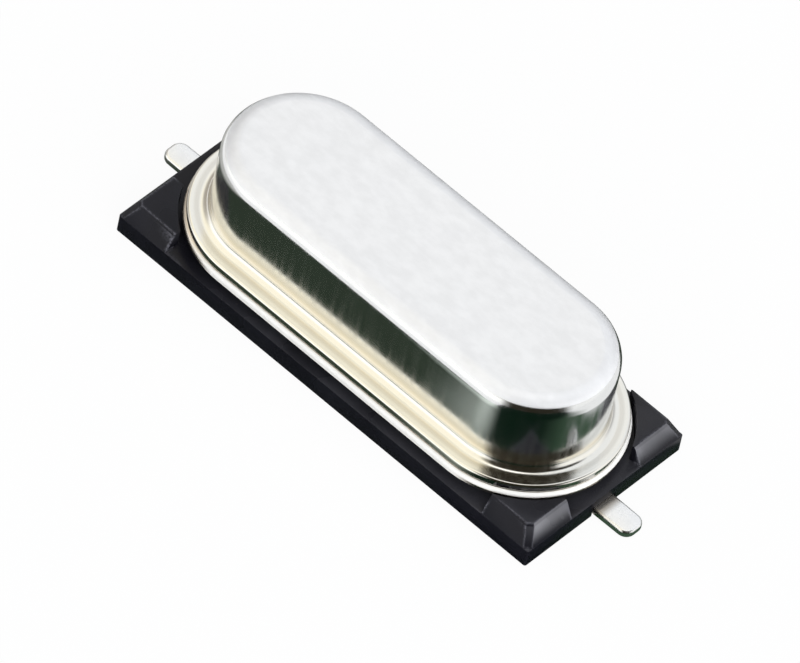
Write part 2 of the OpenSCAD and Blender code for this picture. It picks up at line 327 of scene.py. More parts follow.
def stretched(tree, where, scale):
    """The same place, with each axis scaled."""
    inputs = {"Vector": where, "Scale": scale}
    return add_node(tree, "ShaderNodeMapping", inputs).outputs["Vector"]


def bumped(tree, height, distance, strength=1.0):
    """A normal that follows a height."""
    inputs = {"Height": height, "Distance": distance, "Strength": strength}
    return add_node(tree, "ShaderNodeBump", inputs).outputs["Normal"]


def overlaid(tree, first, second):
    """Two patterns at once, the first a little stronger."""
    return calc(tree, "ADD", times(tree, first, 0.6), times(tree, second, 0.4))


def mottled(tree, pattern, shade, dark, pale, low=0.3, high=0.7):
    """A colour that a pattern makes a little darker and a little paler."""
    shades = [tuple(Vector(shade) * part) for part in (dark, pale)]
    return blend_colours(tree, ramp(tree, pattern, low, high), *shades)


def uneven(tree, pattern, middle, less, more, low=0.3, high=0.7):
    """A number that a pattern takes a little below and above its middle."""
    return ramp(tree, pattern, low, high, middle - less, middle + more)


def reach_from_core(tree, where, core):
    """How far a place lies, seen from above, from the line that a slot is drawn round."""
    x, y, _ = axes(tree, where)
    past = calc(tree, "MAXIMUM", calc(tree, "SUBTRACT", calc(tree, "ABSOLUTE", x), core), 0.0)
    return calc(tree, "SQRT", calc(tree, "ADD", times(tree, past, past), times(tree, y, y)))


def empty_material(name):
    """A material without nodes, and its tree."""
    material = bpy.data.materials.new(name)
    material.use_nodes = True
    material.node_tree.nodes.clear()
    return material, material.node_tree


def new_material(name):
    """A material with one shader: its tree, the shader and its Object coordinates."""
    material, tree = empty_material(name)
    shader = add_node(tree, "ShaderNodeBsdfPrincipled")
    add_node(tree, "ShaderNodeOutputMaterial", {"Surface": shader.outputs[0]})
    where = add_node(tree, "ShaderNodeTexCoord").outputs["Object"]
    return material, tree, shader, where


def set_shader(tree, shader, **inputs):
    """Sets or joins the shader's inputs.  Underscores stand for spaces."""
    for key, value in inputs.items():
        socket = shader.inputs[key.replace("_", " ")]
        if isinstance(value, bpy.types.NodeSocket):
            tree.links.new(value, socket)
        elif socket.type == "RGBA":
            socket.default_value = (*value, 1.0)
        else:
            socket.default_value = value


# ---- Materials ----


def can_metal(settings):
    """Drawn sheet: a satin top, walls burnished by the die, and a warmer foot and flange, with a
    ring of painted shade on the flange beside the foot."""
    material, tree, shader, where = new_material("can_metal")
    height = axes(tree, where)["Z"]
    cloud = noise(tree, where, 900.0, 4.0, 0.6)
    tone = overlaid(tree, cloud, noise(tree, where, 260.0, 2.0))
    speck = noise(tree, stretched(tree, where, (0.6, 1.0, 1.0)), 3600.0, 3.0, 0.6)
    grain = noise(tree, where, 9000.0, 2.0)
    draw = noise(tree, stretched(tree, where, (1.0, 1.0, 0.06)), 9000.0, 2.0)

    # Where each finish lies, and the ring of painted shade beside the foot
    satin_end, fade = COVER_HIGH.z - settings.satin_depth, 0.02 * MM
    top = ramp(tree, height, satin_end - fade, satin_end + fade)
    base = COVER_LOW.z
    warm = ramp(tree, height, base + 0.25 * MM, base + 0.7 * MM, 1.0, 0.0)
    above_flange = ramp(tree, height, base + 0.3 * MM, base + 0.4 * MM)
    reach = reach_from_core(tree, where, COVER_HIGH.x - COVER_HIGH.y)
    foot = settings.body_width / 2 + settings.foot_radius
    # A ring of painted shade darkens the flange where it meets the wall's foot.
    ring_in = ramp(tree, reach, foot - 0.01 * MM, foot + 0.04 * MM)
    ring_out = ramp(tree, reach, foot + 0.08 * MM, foot + 0.16 * MM, 1.0, 0.0)
    foot_shade_mask = times(tree, ring_in, ring_out, settings.foot_shade)

    wall = mottled(tree, tone, settings.metal, 0.93, 1.04)
    lid = mottled(tree, overlaid(tree, speck, tone), settings.satin, 0.95, 1.03, 0.35, 0.65)
    flange = blend_colours(tree, foot_shade_mask, settings.flange_tint, settings.foot_shade_tint)
    low_tint = blend_colours(tree, above_flange, flange, settings.heat_tint)
    tint = blend_colours(tree, warm, blend_colours(tree, top, wall, lid), low_tint)
    rough_top = uneven(tree, cloud, settings.top_roughness, 0.05, 0.05, 0.25, 0.75)
    rough_wall = uneven(tree, draw, settings.wall_roughness, 0.03, 0.04)
    rough = blend(tree, top, rough_wall, rough_top)
    relief = calc(tree, "ADD", times(tree, grain, top), times(tree, draw, 0.3))
    normal = bumped(tree, relief, 0.0015 * MM, 0.5)
    mirror = calc(tree, "SUBTRACT", 1.0, times(tree, top, settings.top_scatter))
    set_shader(tree, shader, Base_Color=tint, Metallic=mirror, Roughness=rough, Normal=normal)
    return material


def header_metal(settings):
    """Stamped plate with a pale matt sheared edge.  Painted shade takes the matt away where the
    insulator's ends close round the plate, except along its upper edge, and fades it towards the
    plate's left end."""
    material, tree, shader, where = new_material("header_metal")
    cloud = noise(tree, where, 1600.0, 3.0)
    x, _, z = axes(tree, where)
    edge = HEADER_HIGH.y
    reach = reach_from_core(tree, where, HEADER_HIGH.x - edge)
    plate_top = HEADER_LOW.z + settings.sheet
    ends_begin, ends_close = 3.3 * MM, 4.0 * MM
    # Painted shade dims the pale edge towards the plate's left end.
    left_shade_deepest, whole = -4.4 * MM, -3.2 * MM
    # Inside the insulator's ends, painted shade of the gap keeps the edge below its upper part bare.
    clear_of_gap_shade = ramp(tree, calc(tree, "ABSOLUTE", x), ends_begin, ends_close, 1.0, 0.0)
    upper = ramp(tree, z, plate_top - 0.11 * MM, plate_top - 0.07 * MM)
    cut = times(
        tree,
        ramp(tree, reach, edge - 0.075 * MM, edge - 0.06 * MM),
        calc(tree, "MAXIMUM", clear_of_gap_shade, upper),
        ramp(tree, x, left_shade_deepest, whole, 0.15, 1.0),
    )
    bare = mottled(tree, cloud, settings.metal, 0.92, 1.05)
    tint = blend_colours(tree, cut, bare, settings.cut_metal)
    rough = uneven(tree, cloud, settings.roughness, 0.04, 0.05)
    rough = blend(tree, cut, rough, settings.cut_roughness)
    mirror = ramp(tree, cut, 0.0, 1.0, 1.0, settings.cut_mirror)
    normal = bumped(tree, noise(tree, where, 12000.0), 0.001 * MM, 0.4)
    set_shader(tree, shader, Base_Color=tint, Metallic=mirror, Roughness=rough, Normal=normal)
    return material


def lead_metal(settings):
    """Tinned wire with the soft shine of solder, darkened by painted shade where it leaves the
    insulator.
    """
    material, tree, shader, where = new_material("lead_metal")
    cloud = noise(tree, where, 2500.0, 3.0)
    out = calc(tree, "ABSOLUTE", axes(tree, where)["X"])
    tip = LEAD_HIGH.x
    # Painted shade darkens the wire where it leaves the insulator.
    root = ramp(tree, out, tip - 0.8 * MM, tip - 0.6 * MM, 1.0, 0.0)
    tinned = mottled(tree, cloud, settings.metal, 0.93, 1.03)
    tint = blend_colours(tree, root, tinned, settings.root_shade_tint)
    rough = uneven(tree, cloud, settings.roughness, 0.05, 0.06)
    normal = bumped(tree, noise(tree, where, 5000.0, 3.0), 0.004 * MM, 0.5)
    up = axes(tree, add_node(tree, "ShaderNodeNewGeometry").outputs["Normal"])["Z"]
    mirror = ramp(tree, up, 0.6, 0.95, 1.0, settings.mirror)
    set_shader(tree, shader, Base_Color=tint, Metallic=mirror, Roughness=rough, Normal=normal)
    return material


def black_moulding(settings):
    """Filled black plastic with a fine grain from the mould.  Its upper faces and the blocks' end
    faces are paler with painted light, least at the left end, and the blocks' outer edges carry a
    painted highlight."""
    material, tree, shader, where = new_material("black_moulding")
    grain = noise(tree, where, 1.0 / settings.grain, 3.0, 0.6)
    broad = noise(tree, where, 700.0, 3.0)
    along, _, height = axes(tree, where)
    true = add_node(tree, "ShaderNodeNewGeometry").outputs["True Normal"]
    facing_x, _, facing_up = axes(tree, true)
    plate, top = settings.plate_height, INSULATOR_HIGH.z
    # Painted light: the blocks' end faces, paler towards their tops, and the upper faces are made
    # paler, least at the left end.
    light_thinnest, light_fullest = -4.6 * MM, -2.0 * MM

    end_face = times(
        tree,
        ramp(tree, calc(tree, "ABSOLUTE", facing_x), 0.5, 0.8),
        ramp(tree, height, plate + 0.02 * MM, top - 0.06 * MM),
    )
    upper_face = ramp(tree, facing_up, 0.8, 0.95, 0.0, settings.top_light)
    painted_light = times(
        tree,
        calc(tree, "MAXIMUM", end_face, upper_face),
        ramp(tree, broad, 0.3, 0.6, 0.5, 1.0),
        ramp(tree, along, light_thinnest, light_fullest, 0.15, 1.0),
    )

    # A softened normal differs from the true one beside an edge
    soft = add_node(tree, "ShaderNodeBevel", {"Radius": settings.highlight_reach}, samples=6).outputs[0]
    same = dot_product(tree, soft, true)
    edge = HEADER_HIGH.y
    reach = reach_from_core(tree, where, HEADER_HIGH.x - edge)
    # Painted highlight along the blocks' outer edges, above the plate and outside the header.
    edge_highlight = times(
        tree,
        ramp(tree, same, 0.985, 0.93),
        ramp(tree, grain, 0.3, 0.6),
        ramp(tree, height, plate - 0.02 * MM, plate + 0.04 * MM),
        ramp(tree, reach, edge + 0.17 * MM, edge + 0.25 * MM),
    )

    tint = mottled(tree, broad, settings.plastic, 0.8, 1.25)
    tint = blend_colours(tree, painted_light, tint, settings.painted_light)
    tint = blend_colours(tree, edge_highlight, tint, settings.edge_highlight)
    rough = uneven(tree, broad, settings.roughness, 0.06, 0.08)
    normal = bumped(tree, grain, 0.006 * MM, 0.6)
    set_shader(tree, shader, Base_Color=tint, Roughness=rough, Normal=normal)
    set_shader(tree, shader, Specular_IOR_Level=settings.gloss)
    return material


def clip_metal():
    """Thin spring strip with a light plating."""
    material, tree, shader, where = new_material("clip_metal")
    brushed = noise(tree, stretched(tree, where, (0.1, 1.0, 1.0)), 16000.0, 2.0)
    tint = blend_colours(tree, brushed, (0.70, 0.66, 0.55), (0.80, 0.77, 0.68))
    rough = ramp(tree, brushed, 0.3, 0.7, 0.24, 0.34)
    normal = bumped(tree, brushed, 0.001 * MM, 0.5)
    set_shader(tree, shader, Base_Color=tint, Metallic=1.0, Roughness=rough, Normal=normal)
    return material


def seal_glass():
    """Dark grey-green sealing glass with small bubbles."""
    material, tree, shader, where = new_material("seal_glass")
    cells = add_node(tree, "ShaderNodeTexVoronoi", {"Vector": where, "Scale": 9000.0}).outputs[0]
    bubble, glass = (0.10, 0.14, 0.13), (0.045, 0.075, 0.068)
    tint = blend_colours(tree, ramp(tree, cells, 0.1, 0.5), bubble, glass)
    rough = ramp(tree, cells, 0.1, 0.5, 0.2, 0.08)
    set_shader(tree, shader, Base_Color=tint, Roughness=rough, IOR=1.5, Coat_Weight=0.3)
    return material


def lapped_quartz():
    """Clear quartz with a finely lapped surface."""
    material, tree, shader, where = new_material("quartz")
    lapped = noise(tree, where, 22000.0, 3.0)
    rough = ramp(tree, lapped, 0.3, 0.7, 0.12, 0.24)
    normal = bumped(tree, lapped, 0.0006 * MM, 0.6)
    set_shader(tree, shader, Base_Color=(0.93, 0.95, 0.96), Roughness=rough, Normal=normal)
    set_shader(tree, shader, IOR=1.544, Transmission_Weight=0.85)
    return material


def silver_film():
    """Evaporated silver, bright and faintly clouded."""
    material, tree, shader, where = new_material("silver_film")
    cloud = noise(tree, where, 1800.0, 3.0)
    tint = blend_colours(tree, cloud, (0.93, 0.91, 0.87), (0.97, 0.96, 0.94))
    rough = ramp(tree, cloud, 0.3, 0.7, 0.07, 0.15)
    set_shader(tree, shader, Base_Color=tint, Metallic=1.0, Roughness=rough)
    return material


def silver_adhesive():
    """Cured silver-filled epoxy, grey with bright flakes."""
    material, tree, shader, where = new_material("silver_adhesive")
    flakes = add_node(tree, "ShaderNodeTexVoronoi", {"Vector": where, "Scale": 40000.0}).outputs[1]
    bright = add_node(tree, "ShaderNodeSeparateColor", {0: flakes}).outputs[0]
    tint = blend_colours(tree, bright, (0.36, 0.36, 0.35), (0.62, 0.62, 0.60))
    metallic = ramp(tree, bright, 0.5, 0.9, 0.2, 0.8)
    normal = bumped(tree, noise(tree, where, 9000.0, 3.0), 0.006 * MM, 0.6)
    set_shader(tree, shader, Base_Color=tint, Metallic=metallic, Roughness=0.45, Normal=normal)
    return material


# ---- Shapes ----


def rounded_section(corners, steps=9, hold=0.012 * MM):
    """Points of a section from its corners (reach, height, core, radius).

    A rounded corner becomes an arc, with one more point just before and after it that keeps
    the flat beside it flat under smooth shading.  Core is half the straight length at a corner."""
    points = []
    for i, (reach, height, core, radius) in enumerate(corners):
        here = Vector((reach, height))
        if radius <= 0:
            points.append((reach, core, height))
            continue
        back = (Vector(corners[i - 1][:2]) - here).normalized()
        on = (Vector(corners[i + 1][:2]) - here).normalized()
        opening = back.angle(on)
        leg = radius / math.tan(opening / 2)
        middle = here + (back + on).normalized() * radius / math.sin(opening / 2)
        start = here + back * leg
        end = here + on * leg
        turn = math.pi - opening
        arc = [start + back * hold]
        for k in range(steps + 1):
            a, b = math.sin(turn * (1 - k / steps)), math.sin(turn * k / steps)
            arc.append(middle + ((start - middle) * a + (end - middle) * b) / math.sin(turn))
        arc.append(end + on * hold)
        points += [(p.x, core, p.y) for p in arc]
    return points


def slot_sweep_tree():
    """Geometry Nodes: carries a section once round a slot.

    The section's points hold the reach from the slot's core line, half that line's length and
    the height.  Each column of the result is one place on the way round."""
    tree = bpy.data.node_groups.new("Slot sweep", "GeometryNodeTree")
    face = tree.interface
    face.new_socket("Geometry", in_out="INPUT", socket_type="NodeSocketGeometry")
    arc_in = face.new_socket("Arc Steps", in_out="INPUT", socket_type="NodeSocketInt")
    side_in = face.new_socket("Side Steps", in_out="INPUT", socket_type="NodeSocketInt")
    face.new_socket("Material", in_out="INPUT", socket_type="NodeSocketMaterial")
    face.new_socket("Geometry", in_out="OUTPUT", socket_type="NodeSocketGeometry")
    arc_in.default_value, side_in.default_value = 80, 20
    given = tree.nodes.new("NodeGroupInput").outputs
    section, arc, side, finish = (given[i] for i in range(4))

    # A grid with a column for each place on the way round and a row for each section point
    counts = add_node(
        tree, "GeometryNodeAttributeDomainSize", {"Geometry": section}, component="MESH"
    )
    points = counts.outputs["Point Count"]
    half_way = calc(tree, "ADD", arc, side)
    columns = line(tree, half_way, 2.0, 1.0)
    shape = {"Vertices X": columns, "Vertices Y": points}
    grid = add_node(tree, "GeometryNodeMeshGrid", shape).outputs["Mesh"]
    index = tree.nodes.new("GeometryNodeInputIndex").outputs[0]
    column = calc(tree, "FLOOR", calc(tree, "DIVIDE", index, points))
    row = calc(tree, "SUBTRACT", index, calc(tree, "MULTIPLY", column, points))
    place = tree.nodes.new("GeometryNodeInputPosition").outputs[0]
    sampled = add_node(
        tree,
        "GeometryNodeSampleIndex",
        {"Geometry": section, "Index": row, "Value": place},
        data_type="FLOAT_VECTOR",
        domain="POINT",
    ).outputs[0]
    reach, core, height = axes(tree, sampled)

    # Each half of the way turns round one end, then slides along one side
    half = calc(tree, "FLOOR", calc(tree, "DIVIDE", column, half_way))
    step = calc(tree, "SUBTRACT", column, calc(tree, "MULTIPLY", half, half_way))
    turn = calc(tree, "MINIMUM", calc(tree, "DIVIDE", step, arc), 1.0)
    past_turn = calc(tree, "SUBTRACT", step, arc)
    slide = calc(tree, "MAXIMUM", calc(tree, "DIVIDE", past_turn, side), 0.0)
    turns = calc(tree, "SUBTRACT", calc(tree, "ADD", turn, half), 0.5)
    angle = calc(tree, "MULTIPLY", turns, math.pi)
    side_sign = line(tree, calc(tree, "MODULO", half, 2.0), -2.0, 1.0)
    along = calc(tree, "MULTIPLY", side_sign, line(tree, slide, -2.0, 1.0))
    centre = calc(tree, "MULTIPLY", along, core)
    x = calc(tree, "MULTIPLY_ADD", calc(tree, "COSINE", angle), reach, centre)
    y = calc(tree, "MULTIPLY", calc(tree, "SINE", angle), reach)
    target = add_node(tree, "ShaderNodeCombineXYZ", {0: x, 1: y, 2: height}).outputs[0]

    made = grid
    for kind, inputs in (
        ("GeometryNodeSetPosition", {"Position": target}),
        ("GeometryNodeMergeByDistance", {"Distance": SAME_POINT}),
        ("GeometryNodeSetShadeSmooth", {}),
        ("GeometryNodeRealizeInstances", {}),
        ("GeometryNodeSetMaterial", {"Material": finish}),
    ):
        made = add_node(tree, kind, {"Geometry": made, **inputs}).outputs[0]
    result = tree.nodes.new("NodeGroupOutput")
    tree.links.new(made, result.inputs[0])
    return tree


def new_piece(name, mesh):
    """An object for a mesh that already lies in its place."""
    piece = bpy.data.objects.new(name, mesh)
    bpy.context.scene.collection.objects.link(piece)
    return piece


def swept_piece(name, points, material, arc_steps=80, side_steps=20):
    """A plain mesh of a section carried round its slot."""
    mesh = bpy.data.meshes.new(name + "_section")
    mesh.from_pydata(points, [(i, i + 1) for i in range(len(points) - 1)], [])
    maker = new_piece(name + "_maker", mesh)
    tree = bpy.data.node_groups.get("Slot sweep") or slot_sweep_tree()
    modifier = maker.modifiers.new("Slot sweep", "NODES")
    modifier.node_group = tree
    values = {"Arc Steps": arc_steps, "Side Steps": side_steps, "Material": material}
    for item in tree.interface.items_tree:
        if item.in_out == "INPUT" and item.name in values:
            modifier[item.identifier] = values[item.name]
    piece = new_piece(name, baked_mesh(maker, name))
    bpy.data.objects.remove(maker)
    return piece


def baked_mesh(maker, name):
    """The plain mesh that an object's modifiers give."""
    graph = bpy.context.evaluated_depsgraph_get()
    graph.update()
    mesh = bpy.data.meshes.new_from_object(maker.evaluated_get(graph))
    mesh.name = name
    return mesh


def face_outwards(mesh):
    """Turns a closed shell's faces outwards."""
    work = bmesh.new()
    work.from_mesh(mesh)
    bmesh.ops.recalc_face_normals(work, faces=work.faces)
    if work.calc_volume(signed=True) < 0:
        bmesh.ops.reverse_faces(work, faces=work.faces)
    work.to_mesh(mesh)
    work.free()


def mesh_from(work, name):
    """The mesh of a finished bmesh, which is freed."""
    mesh = bpy.data.meshes.new(name)
    work.to_mesh(mesh)
    work.free()
    return mesh


def add_boolean(piece, name, tool, operation):
    """Joins a tool's shape to a piece, or cuts it away, when the piece is next made a mesh."""
    modifier = piece.modifiers.new(name, "BOOLEAN")
    modifier.operation = operation
    modifier.solver = "EXACT"
    modifier.object = tool


def finish_piece(piece, slot, *nodes):
    """Joins a finished piece to the frame in place of its CAD nodes."""
    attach(piece, BODY)
    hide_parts(*nodes)


def dress_node(name, material, slot):
    """Gives a CAD node that stays in view its material."""
    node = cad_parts[name]
    for place in node.material_slots:
        place.material = material


def side_points(half_width, half_height, radius, steps=6):
    """Points down one side of a rectangle with round corners, from its top flat to its lower
    one: how far in each lies from the side, and its height."""
    radius = min(radius, half_width, half_height)
    points = []
    for sign in (1, -1):
        for k in range(steps + 1):
            angle = math.pi / 2 * (k / steps if sign > 0 else 1 + k / steps)
            inward = radius * (1 - math.sin(angle))
            points.append((inward, sign * (half_height - radius) + radius * math.cos(angle)))
    return points


def lofted_mesh(name, stations):
    """Skins closed rings that stand along a path in the XZ plane.

    A station is (x, z, direction, half width, half height, edge radius, turn).  Direction is the
    path's angle below the X axis, the width runs along Y, and turn is how far the side's
    outline has turned towards the tip, so that the edge is rounded square to the outline."""
    work = bmesh.new()
    rings = []
    for x, z, direction, half_width, half_height, radius, turn in stations:
        up = Vector((math.sin(direction), 0, math.cos(direction)))
        on = Vector((math.cos(direction), 0, -math.sin(direction)))
        centre = Vector((x, 0, z))
        side = side_points(half_width, half_height, radius)
        ring = []
        for sign, points in ((1, side), (-1, reversed(side))):
            for inward, height in points:
                across = sign * max(half_width - inward * math.cos(turn), 0.0)
                place = centre + Vector((0, across, 0)) + up * height - on * inward * math.sin(turn)
                ring.append(work.verts.new(place))
        rings.append(ring)
    count = len(rings[0])
    for first, second in zip(rings, rings[1:]):
        for i in range(count):
            j = (i + 1) % count
            work.faces.new((first[i], first[j], second[j], second[i]))
    work.faces.new(rings[0])
    last = rings[-1]
    for i in range(count // 2 - 1):
        work.faces.new((last[i], last[i + 1], last[count - 2 - i], last[count - 1 - i]))
    bmesh.ops.remove_doubles(work, verts=work.verts, dist=SAME_POINT)
    bmesh.ops.recalc_face_normals(work, faces=work.faces)
    for face in work.faces:
        face.smooth = True
    return mesh_from(work, name)


# ---- Pieces ----


class CRYSTAL_OT_make_cover(bpy.types.Operator):
    """Makes the drawn can with its flange"""

    bl_idname = "crystal.make_cover"
    bl_label = "Make Cover"
    bl_options = {"REGISTER", "UNDO"}

    def execute(self, context):
        settings = context.scene.crystal_cover
        top, low = COVER_HIGH.z, COVER_LOW.z
        wall = settings.body_width / 2
        core = (settings.body_length - settings.body_width) / 2
        rim = COVER_HIGH.y
        rim_core = COVER_HIGH.x - rim
        inner = wall - settings.sheet
        points = rounded_section(
            [
                (0, top, core, 0),
                (wall, top, core, settings.top_radius),
                (wall, low + settings.sheet, core, settings.foot_radius),
                (rim, low + settings.sheet, rim_core, settings.rim_radius),
                (rim, low, rim_core, settings.rim_under),
                (inner, low, core, settings.foot_radius + settings.sheet),
                (inner, top - settings.sheet, core, settings.top_radius - settings.sheet),
                (0, top - settings.sheet, core, 0),
            ]
        )
        cover = swept_piece("cover", points, can_metal(settings), arc_steps=96, side_steps=24)
        face_outwards(cover.data)
        finish_piece(cover, "can_metal", "cover")
        return {"FINISHED"}


class CRYSTAL_OT_make_header(bpy.types.Operator):
    """Makes the header plate with its raised middle, eyelets and weld bead"""

    bl_idname = "crystal.make_header"
    bl_label = "Make Header"
    bl_options = {"REGISTER", "UNDO"}

    def execute(self, context):
        scene = context.scene
        settings, cover, leads = scene.crystal_header, scene.crystal_cover, scene.crystal_leads
        metal = header_metal(settings)
        points = rounded_section(self.section(settings, cover), steps=6, hold=0.004 * MM)
        header = swept_piece("header", points, metal, arc_steps=72, side_steps=16)
        face_outwards(header.data)
        bead = (BEAD_HIGH.y - BEAD_LOW.y) / 2
        for sign in (-1, 1):
            self.bore_eyelet(header, sign * leads.pitch / 2, bead, metal)
        finish_piece(header, "header_metal", "header")
        return {"FINISHED"}

    def section(self, settings, cover):
        """Corners of the plate's section, out over its top and weld and back underneath."""
        sheet, dome_radius = settings.sheet, settings.dome_radius
        seat, dome_top = HEADER_LOW.z, HEADER_HIGH.z
        plate_top = seat + sheet
        weld_top = COVER_LOW.z
        edge, edge_core = HEADER_HIGH.y, HEADER_HIGH.x - HEADER_HIGH.y
        dome = cover.body_width / 2 - cover.sheet - settings.dome_gap
        core = (cover.body_length - cover.body_width) / 2
        weld_out = COVER_HIGH.y - settings.weld_inset
        weld_in = weld_out - settings.weld_width
        weld_root, weld_crown = 0.006 * MM, 0.012 * MM
        dome_root, dome_under = 0.04 * MM, 0.03 * MM
        return [
            (0, dome_top, core, 0),
            (dome, dome_top, core, dome_radius),
            (dome, plate_top, core, dome_root),
            (weld_in, plate_top, edge_core, weld_root),
            (weld_in, weld_top, edge_core, weld_crown),
            (weld_out, weld_top, edge_core, weld_crown),
            (weld_out, plate_top, edge_core, weld_root),
            (edge, plate_top, edge_core, settings.edge_radius),
            (edge, seat, edge_core, settings.edge_under),
            (dome - sheet, seat, core, dome_under),
            (dome - sheet, dome_top - sheet, core, dome_radius - sheet),
            (0, dome_top - sheet, core, 0),
        ]

    def bore_eyelet(self, header, x, radius, metal):
        """Adds a drawn eyelet under the raised middle for a glass bead, and bores it."""
        wall, below_top, clear = 0.16 * MM, 0.05 * MM, 0.1 * MM
        seat, dome_top = HEADER_LOW.z, HEADER_HIGH.z
        for radius, low, high, operation in (
            (radius + wall, seat, dome_top - below_top, "UNION"),
            (radius, seat - clear, dome_top + clear, "DIFFERENCE"),
        ):
            work = bmesh.new()
            bmesh.ops.create_cone(
                work,
                cap_ends=True,
                segments=64,
                radius1=radius,
                radius2=radius,
                depth=high - low,
                matrix=Matrix.Translation((x, 0, (low + high) / 2)),
            )
            mesh = mesh_from(work, "eyelet_tool")
            mesh.materials.append(metal)
            tool = new_piece("eyelet_tool", mesh)
            add_boolean(header, "Eyelet", tool, operation)
            bored = baked_mesh(header, "header")
            header.modifiers.clear()
            header.data = bored
            bpy.data.objects.remove(tool)


class CRYSTAL_OT_make_leads(bpy.types.Operator):
    """Makes the two leads, from the nail head to the flattened terminal"""

    bl_idname = "crystal.make_leads"
    bl_label = "Make Leads"
    bl_options = {"REGISTER", "UNDO"}

    def execute(self, context):
        settings = context.scene.crystal_leads
        metal = lead_metal(settings)
        for name, turn in (("lead_right", 0.0), ("lead_left", math.pi)):
            mesh = lofted_mesh(name, self.stations(settings))
            mesh.transform(Matrix.Rotation(turn, 4, "Z"))
            mesh.materials.append(metal)
            finish_piece(new_piece(name, mesh), "lead_metal", name)
        return {"FINISHED"}

    def stations(self, settings):
        """Rings of the right lead, from the top of its head to the tip of its terminal."""
        wire = settings.wire / 2
        bend_top = wire + settings.lift + settings.bend_radius
        bend_end = settings.pitch / 2 + settings.bend_radius
        press = bend_end + settings.run
        flat = press + settings.press
        return [
            *self.head_rings(settings, wire, bend_top),
            *self.bend_rings(settings, wire, bend_end, bend_top),
            *self.pressed_rings(settings, wire, press, flat),
            *self.tip_rings(settings, flat),
        ]

    def head_rings(self, settings, wire, bend_top):
        """The nail head with softened edges, and the middle of the upright wire."""
        head, soft, top = settings.head / 2, 0.02 * MM, LEAD_HIGH.z
        under = top - settings.head_height
        heights_and_radii = (
            (top, head - soft),
            (top - soft / 3, head - soft / 3),
            (top - soft, head),
            (under + soft, head),
            (under, head - soft),
            (under, wire),
            ((under + bend_top) / 2, wire),
        )
        return [(settings.pitch / 2, z, math.pi / 2, r, r, r, 0.0) for z, r in heights_and_radii]

    def bend_rings(self, settings, wire, bend_end, bend_top):
        """The wire's quarter turn, from upright to level."""
        rings, steps = [], 14
        for k in range(steps + 1):
            angle = math.pi / 2 * k / steps
            x = bend_end - settings.bend_radius * math.cos(angle)
            z = bend_top - settings.bend_radius * math.sin(angle)
            rings.append((x, z, math.pi / 2 - angle, wire, wire, wire, 0.0))
        return rings

    def pressed_rings(self, settings, wire, press, flat):
        """The stretch over which the round wire is pressed flat and wide."""
        thick, wide = settings.thickness / 2, settings.width / 2
        rings, steps = [], 12
        for k in range(steps + 1):
            done = k / steps
            ease = done * done * (3 - 2 * done)
            x = press + (flat - press) * done
            half_width = wire + (wide - wire) * ease
            half_height = wire + (thick - wire) * ease
            edge = wire + (settings.edge_radius - wire) * ease
            z = half_height + settings.lift * (1 - ease)
            rings.append((x, z, 0.0, half_width, half_height, edge, 0.0))
        return rings

    def tip_rings(self, settings, flat):
        """The flat terminal, tapered to its tip, and the tip's rounded corners."""
        thick, wide, tip = settings.thickness / 2, settings.width / 2, settings.tip_width / 2
        corner = LEAD_HIGH.x - settings.tip_radius
        rings, steps = [], 14
        for done in (0.25, 0.5, 0.75, 0.98):
            x = flat + (corner - flat) * done
            half_width = wide + (tip - wide) * done
            rings.append((x, thick, 0.0, half_width, thick, settings.edge_radius, 0.0))
        for k in range(steps + 1):
            turn = math.pi / 2 * k / steps
            x = corner + settings.tip_radius * math.sin(turn)
            half_width = tip - settings.tip_radius * (1 - math.cos(turn))
            rings.append((x, thick, 0.0, half_width, thick, settings.edge_radius, turn))
        return rings


